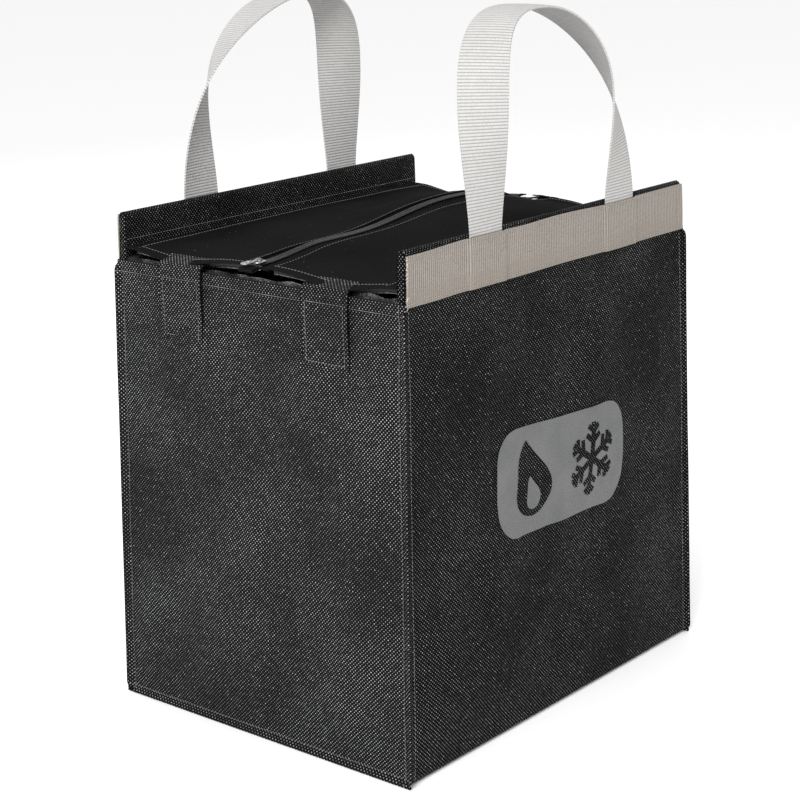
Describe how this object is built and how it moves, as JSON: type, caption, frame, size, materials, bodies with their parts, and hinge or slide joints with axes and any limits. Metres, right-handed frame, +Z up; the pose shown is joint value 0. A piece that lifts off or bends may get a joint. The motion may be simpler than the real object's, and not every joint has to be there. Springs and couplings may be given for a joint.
{
  "type": "insulated food carrier",
  "caption": "Soft-sided insulated tote for carrying hot or cold food, with a zipped two-piece lid, hook-and-loop closure tabs and webbing carrying handles.",
  "frame": {"origin": "on the ground under the middle of the bag", "axes": "+Z up, +X along the zip and the width of the front panel, the front panel faces -Y"},
  "size_m": [0.3926, 0.3194, 0.5674],
  "materials": {
    "black_weave": "coarse black basket weave with fine bright flecks",
    "black_cloth": "matt black lid cloth",
    "grey_webbing": "ribbed light grey woven webbing",
    "brown_webbing": "ribbed taupe grey woven webbing",
    "white_foam": "closed-cell foam",
    "silver_foil": "crinkled aluminised film",
    "grey_board": "smooth board",
    "black_pile": "hook-and-loop pile",
    "black_nylon": "nylon zip coil",
    "dark_metal": "dark plated die-cast metal",
    "grey_print": "rubbery heat-transfer print"
  },
  "bodies": {
    "bag": {"body_wrap": "black_weave", "left_side_panel": "black_weave", "right_side_panel": "black_weave", "front_foam": "white_foam", "back_foam": "white_foam", "left_foam": "white_foam", "right_foam": "white_foam", "bottom_foam": "white_foam", "base_board": "grey_board", "foil_liner": "silver_foil", "front_webbing_band": "brown_webbing", "back_webbing_band": "brown_webbing", "front_left_handle_tail": "grey_webbing", "front_right_handle_tail": "grey_webbing", "back_left_handle_tail": "grey_webbing", "back_right_handle_tail": "grey_webbing", "front_left_hook_patch": "black_pile", "front_right_hook_patch": "black_pile", "back_left_hook_patch": "black_pile", "back_right_hook_patch": "black_pile", "badge_print": "grey_print"},
    "front_lid": {"front_lid_cover": "black_cloth", "front_lid_foam": "white_foam", "front_lid_lining": "silver_foil", "front_zip_tape": "black_cloth", "front_zip_teeth": "black_nylon", "zip_end_tab_left": "black_cloth", "zip_end_tab_right": "black_cloth"},
    "back_lid": {"back_lid_cover": "black_cloth", "back_lid_foam": "white_foam", "back_lid_lining": "silver_foil", "back_zip_tape": "black_cloth", "back_zip_teeth": "black_nylon"},
    "front_handle": {"front_handle": "grey_webbing"},
    "back_handle": {"back_handle": "grey_webbing"},
    "zip_slider": {"zip_slider": "dark_metal"},
    "zip_pull": {"zip_pull": "dark_metal"},
    "front_left_tab": {"front_left_closure_tab": "black_weave", "front_left_loop_patch": "black_pile"},
    "back_left_tab": {"back_left_closure_tab": "black_weave", "back_left_loop_patch": "black_pile"},
    "front_right_tab": {"front_right_closure_tab": "black_weave", "front_right_loop_patch": "black_pile"},
    "back_right_tab": {"back_right_closure_tab": "black_weave", "back_right_loop_patch": "black_pile"}
  },
  "joints": [
    {"name": "front_lid_hinge", "type": "hinge", "parent": "bag", "child": "front_lid", "pos_m": [0, -0.1398, 0.3812], "axis": [1, 0, 0], "range_deg": [0, 75]},
    {"name": "back_lid_hinge", "type": "hinge", "parent": "bag", "child": "back_lid", "pos_m": [0, 0.1398, 0.3812], "axis": [-1, 0, 0], "range_deg": [0, 75]},
    {"name": "front_handle_swing", "type": "hinge", "parent": "bag", "child": "front_handle", "pos_m": [0, -0.14847, 0.4095], "axis": [1, 0, 0], "range_deg": [-45, 130]},
    {"name": "back_handle_swing", "type": "hinge", "parent": "bag", "child": "back_handle", "pos_m": [0, 0.14847, 0.4095], "axis": [-1, 0, 0], "range_deg": [-45, 130]},
    {"name": "zip_slide", "type": "slide", "parent": "front_lid", "child": "zip_slider", "axis": [1, 0, 0], "range_m": [0, 0.353]},
    {"name": "zip_pull_flip", "type": "hinge", "parent": "zip_slider", "child": "zip_pull", "pos_m": [-0.1765, 0, 0.3844], "axis": [0, 1, 0], "range_deg": [0, 175]},
    {"name": "front_left_tab_hinge", "type": "hinge", "parent": "front_lid", "child": "front_left_tab", "pos_m": [-0.18456, -0.075, 0.3806], "axis": [0, 1, 0], "range_deg": [0, 170]},
    {"name": "back_left_tab_hinge", "type": "hinge", "parent": "back_lid", "child": "back_left_tab", "pos_m": [-0.18456, 0.075, 0.3806], "axis": [0, 1, 0], "range_deg": [0, 170]},
    {"name": "front_right_tab_hinge", "type": "hinge", "parent": "front_lid", "child": "front_right_tab", "pos_m": [0.18456, -0.075, 0.3806], "axis": [0, -1, 0], "range_deg": [0, 170]},
    {"name": "back_right_tab_hinge", "type": "hinge", "parent": "back_lid", "child": "back_right_tab", "pos_m": [0.18456, 0.075, 0.3806], "axis": [0, -1, 0], "range_deg": [0, 170]}
  ]
}
